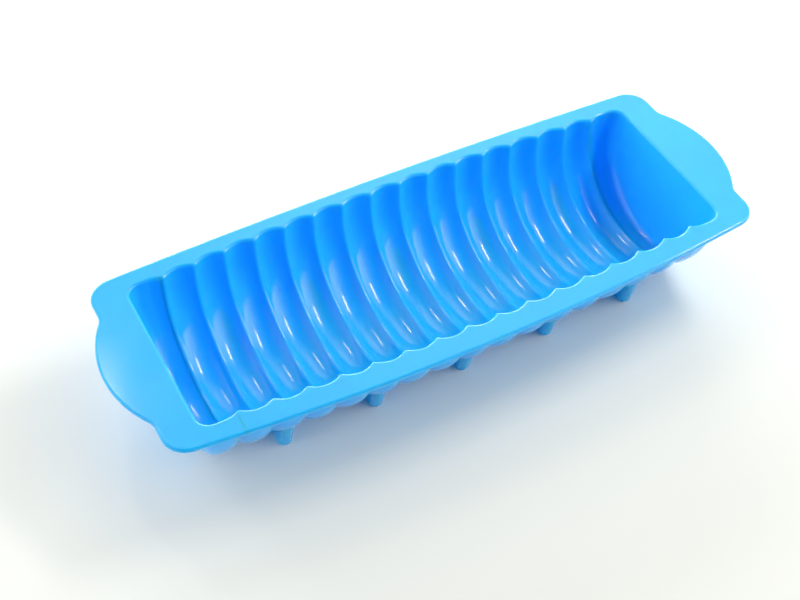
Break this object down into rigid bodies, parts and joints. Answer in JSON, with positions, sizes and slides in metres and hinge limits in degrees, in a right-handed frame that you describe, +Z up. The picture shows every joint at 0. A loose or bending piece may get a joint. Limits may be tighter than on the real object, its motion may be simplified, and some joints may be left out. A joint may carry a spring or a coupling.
{
  "type": "ribbed loaf mould",
  "caption": "Long half-round baking mould in soft silicone, with cross ribs, plain end walls, a flat rim with flexible grip tabs at its ends, and short foot fins to stand on.",
  "frame": {"origin": "on the table plane, under the middle of the mould", "axes": "+X along the trough, +Y to the back, +Z up out of the opening"},
  "size_m": [0.3002, 0.1076, 0.046],
  "materials": {
    "silicone": "smooth moulded, satin gloss, slightly translucent"
  },
  "bodies": {
    "mould_body": {"rim_flange": "silicone", "rib_01": "silicone", "rib_02": "silicone", "rib_03": "silicone", "rib_04": "silicone", "rib_05": "silicone", "rib_06": "silicone", "rib_07": "silicone", "rib_08": "silicone", "rib_09": "silicone", "rib_10": "silicone", "rib_11": "silicone", "rib_12": "silicone", "rib_13": "silicone", "rib_14": "silicone", "rib_15": "silicone", "rib_16": "silicone", "rib_17": "silicone", "end_wall_left": "silicone", "end_wall_right": "silicone", "foot_front_1": "silicone", "foot_front_2": "silicone", "foot_front_3": "silicone", "foot_front_4": "silicone", "foot_front_5": "silicone", "foot_back_1": "silicone", "foot_back_2": "silicone", "foot_back_3": "silicone", "foot_back_4": "silicone", "foot_back_5": "silicone"},
    "left_tab": {"grip_tab_left": "silicone"},
    "right_tab": {"grip_tab_right": "silicone"}
  },
  "joints": [
    {"name": "left_tab_flex", "type": "hinge", "parent": "mould_body", "child": "left_tab", "pos_m": [-0.13074, 0, 0.0449], "axis": [0, 1, 0], "range_deg": [-60, 45], "stiffness_Nm_per_rad": 0.03},
    {"name": "right_tab_flex", "type": "hinge", "parent": "mould_body", "child": "right_tab", "pos_m": [0.13074, 0, 0.0449], "axis": [0, -1, 0], "range_deg": [-60, 45], "stiffness_Nm_per_rad": 0.03}
  ]
}
